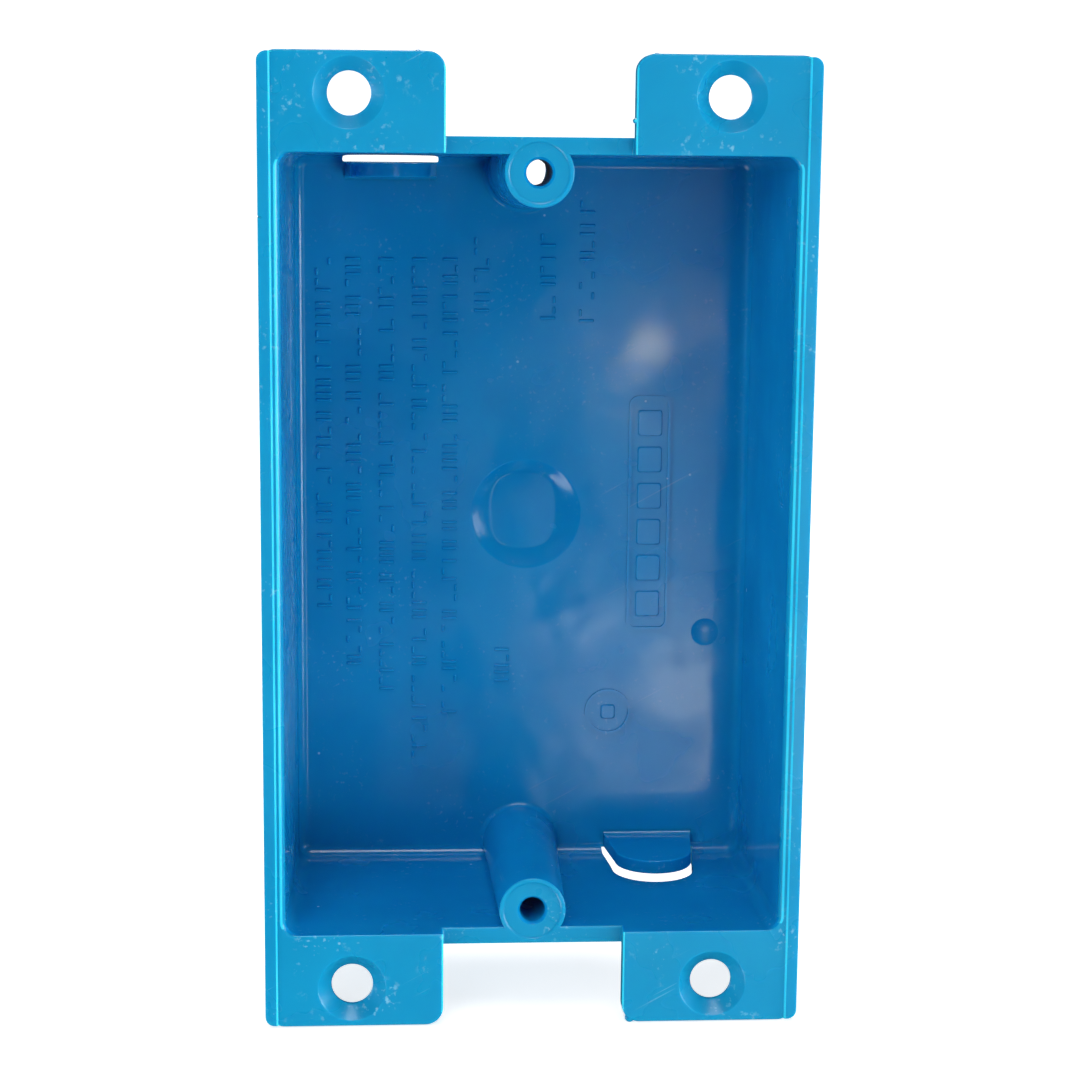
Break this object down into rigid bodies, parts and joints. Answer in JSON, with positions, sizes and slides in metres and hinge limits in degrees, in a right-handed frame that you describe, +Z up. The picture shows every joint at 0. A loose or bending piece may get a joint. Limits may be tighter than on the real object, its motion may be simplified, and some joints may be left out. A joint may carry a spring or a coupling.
{
  "type": "electrical junction box",
  "caption": "Shallow single-gang wall box of blue plastic with screw ears at its corners, posts for a device's screws and sprung tabs that hold the cables.",
  "frame": {"origin": "middle of the wall plane, which the backs of the ears bear on", "axes": "+Z up as installed, +Y into the wall, +X to the right seen from the room"},
  "size_m": [0.0608, 0.0317, 0.1088],
  "materials": {
    "blue_plastic": "moulded PVC, satin to glossy, with fine scuffs"
  },
  "bodies": {
    "box": {"box_body": "blue_plastic"},
    "top_tab": {"cable_tab_top": "blue_plastic"},
    "bottom_tab": {"cable_tab_bottom": "blue_plastic"}
  },
  "joints": [
    {"name": "top_tab_bend", "type": "hinge", "parent": "box", "child": "top_tab", "pos_m": [-0.0161, 0.0269, 0.04167], "axis": [1, 0, 0], "range_deg": [0, 40], "stiffness_Nm_per_rad": 0.1},
    {"name": "bottom_tab_bend", "type": "hinge", "parent": "box", "child": "bottom_tab", "pos_m": [0.0161, 0.0269, -0.04167], "axis": [-1, 0, 0], "range_deg": [0, 40], "stiffness_Nm_per_rad": 0.1}
  ]
}
